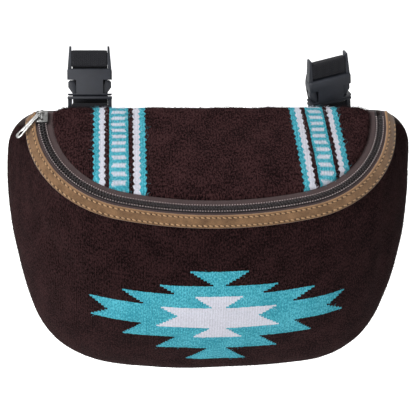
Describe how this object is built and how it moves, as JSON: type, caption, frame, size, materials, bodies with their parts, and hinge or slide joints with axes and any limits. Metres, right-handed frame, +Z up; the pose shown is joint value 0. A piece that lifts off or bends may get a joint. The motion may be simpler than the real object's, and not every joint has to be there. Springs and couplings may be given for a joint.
{
  "type": "pommel pouch",
  "caption": "Half-round woven pouch with a curved top zip and two side-release buckled strap loops behind its top edge.",
  "frame": {"origin": "middle of the back panel's top edge, midway between the two strap loops that hold it", "axes": "+X to the wearer's right as seen from the front, +Y out of the back, +Z up; the bag bulges towards -Y"},
  "size_m": [0.3022, 0.1187, 0.2439],
  "materials": {
    "wool": "coarse weft-faced wool with stripes and a stepped diamond pattern",
    "back_cloth": "plain tight weave",
    "tape": "woven zip tape",
    "coil": "nylon coil with stitched edges",
    "suede": "tan suede with two rows of stitches",
    "metal": "nickel plate",
    "plastic": "moulded acetal, fine grain",
    "webbing": "ribbed polyester webbing"
  },
  "bodies": {
    "pouch": {"back_panel": "back_cloth", "front_panel": "wool", "top_panel": "wool", "leather_trim": "suede", "upper_zip_tape": "tape", "lower_zip_tape": "tape", "upper_zip_coil": "coil", "lower_zip_coil": "coil", "left_buckle_tongue": "plastic", "left_tongue_web": "webbing", "left_loop_web": "webbing", "right_buckle_tongue": "plastic", "right_tongue_web": "webbing", "right_loop_web": "webbing"},
    "slider": {"zip_slider_body": "metal"},
    "pull": {"zip_pull_ring": "metal", "zip_pull_tab": "metal"},
    "left_socket": {"left_buckle_socket": "plastic"},
    "right_socket": {"right_buckle_socket": "plastic"}
  },
  "joints": [
    {"name": "zip_run", "type": "hinge", "parent": "pouch", "child": "slider", "pos_m": [-0.0488, -0.00787, -0.00337], "axis": [0, -0.6018, 0.7986], "range_deg": [0, 66], "deforming": ["upper_zip_coil", "lower_zip_coil"]},
    {"name": "pull_swing", "type": "hinge", "parent": "slider", "child": "pull", "pos_m": [-0.1243, -0.01268, 0.00152], "axis": [-0.0119, 0.7986, 0.6018], "range_deg": [0, 180]},
    {"name": "left_release", "type": "slide", "parent": "pouch", "child": "left_socket", "axis": [0, 0.2588, 0.9659], "range_m": [0, 0.022], "deforming": ["left_loop_web", "left_buckle_tongue"]},
    {"name": "right_release", "type": "slide", "parent": "pouch", "child": "right_socket", "axis": [-0.1308, -0.2751, 0.9525], "range_m": [0, 0.022], "deforming": ["right_loop_web", "right_buckle_tongue"]}
  ]
}
